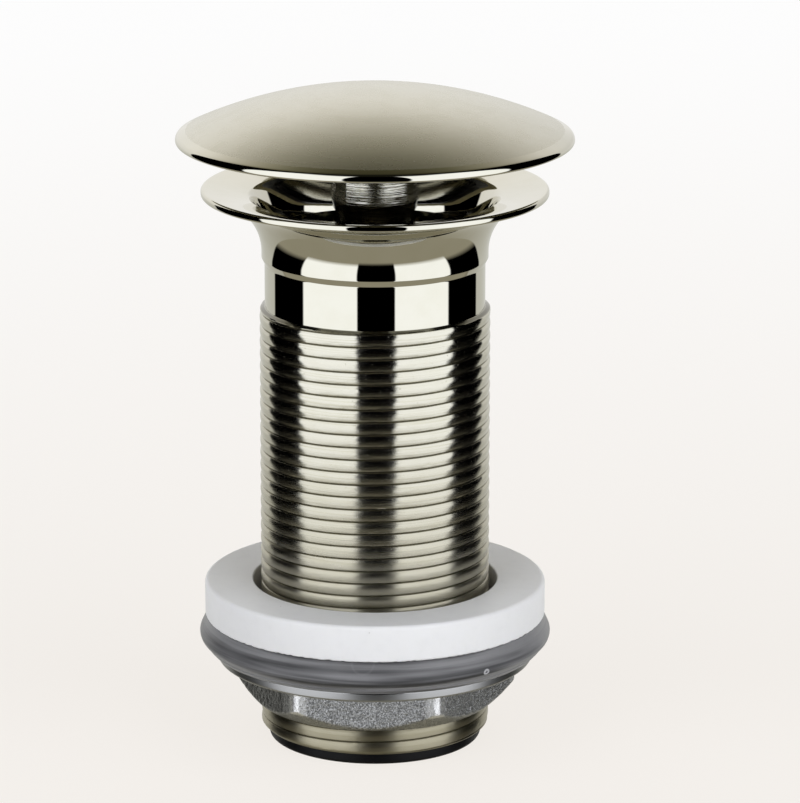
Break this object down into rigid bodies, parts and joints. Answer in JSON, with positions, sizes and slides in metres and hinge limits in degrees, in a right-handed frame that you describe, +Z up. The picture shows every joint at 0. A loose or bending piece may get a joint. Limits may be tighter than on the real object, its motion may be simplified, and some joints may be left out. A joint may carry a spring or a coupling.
{
  "type": "pop up basin waste",
  "caption": "Pop-up basin waste with a domed mushroom cap on a sprung click cartridge, a threaded flanged tail, basin washer, tapered seal and hexagon back nut.",
  "frame": {"origin": "centre of the underside of the tail seal, on the axis of the waste", "axes": "+Z up along the waste's axis towards the cap, -Y towards the pictured front"},
  "size_m": [0.072, 0.072, 0.1212],
  "materials": {
    "nickel_plate": "nickel plated, polished, satin on the crown",
    "raw_brass": "turned, lightly plated",
    "turned_metal": "turned, with fine rings",
    "spring_steel": "drawn wire and strip",
    "cast_nut_metal": "die cast hexagon, polished flange",
    "white_plastic": "soft white polyethylene",
    "cartridge_plastic": "natural acetal",
    "grey_silicone": "translucent grey silicone",
    "black_rubber": "black rubber"
  },
  "bodies": {
    "waste": {"waste_body": "nickel_plate", "tail_seal": "black_rubber", "carrier": "raw_brass", "hub_gasket": "black_rubber", "cartridge_housing": "turned_metal", "lock_nut": "raw_brass", "base_plug": "turned_metal", "track_pins": "spring_steel", "guide_bush": "cartridge_plastic", "bush_clip": "spring_steel", "click_spring": "spring_steel"},
    "plunger": {"dome_cap": "nickel_plate", "cap_boss": "raw_brass", "cap_seal": "black_rubber", "seal_plate": "turned_metal", "plunger_sleeve": "turned_metal", "plunger_stem": "turned_metal", "thrust_washer": "spring_steel"},
    "track": {"track_sleeve": "cartridge_plastic"},
    "basin_seals": {"basin_washer": "white_plastic", "tapered_seal": "grey_silicone"},
    "backnut": {"backnut": "cast_nut_metal"}
  },
  "joints": [
    {"name": "plunger_slide", "type": "slide", "parent": "waste", "child": "plunger", "axis": [0, 0, 1], "range_m": [-0.0085, 0], "stiffness_N_per_m": 1200, "springref_m": 0.008, "deforming": ["click_spring"]},
    {"name": "track_turn", "type": "hinge", "parent": "plunger", "child": "track", "pos_m": [0, 0, 0.09], "axis": [0, 0, 1], "range_deg": [-60.5, 0.5]},
    {"name": "seal_slide", "type": "slide", "parent": "waste", "child": "basin_seals", "axis": [0, 0, 1], "range_m": [-0.0048, 0.0601]},
    {"name": "nut_turn", "type": "hinge", "parent": "basin_seals", "child": "backnut", "pos_m": [0, 0, 0.0122], "axis": [0, 0, 1], "range_deg": [-732.8, 9354.7]}
  ],
  "couplings": [
    {"joint": "track_turn", "follows": "plunger_slide", "rad_per_m": 123.2},
    {"joint": "seal_slide", "follows": "nut_turn", "m_per_rad": 0.00036749}
  ]
}
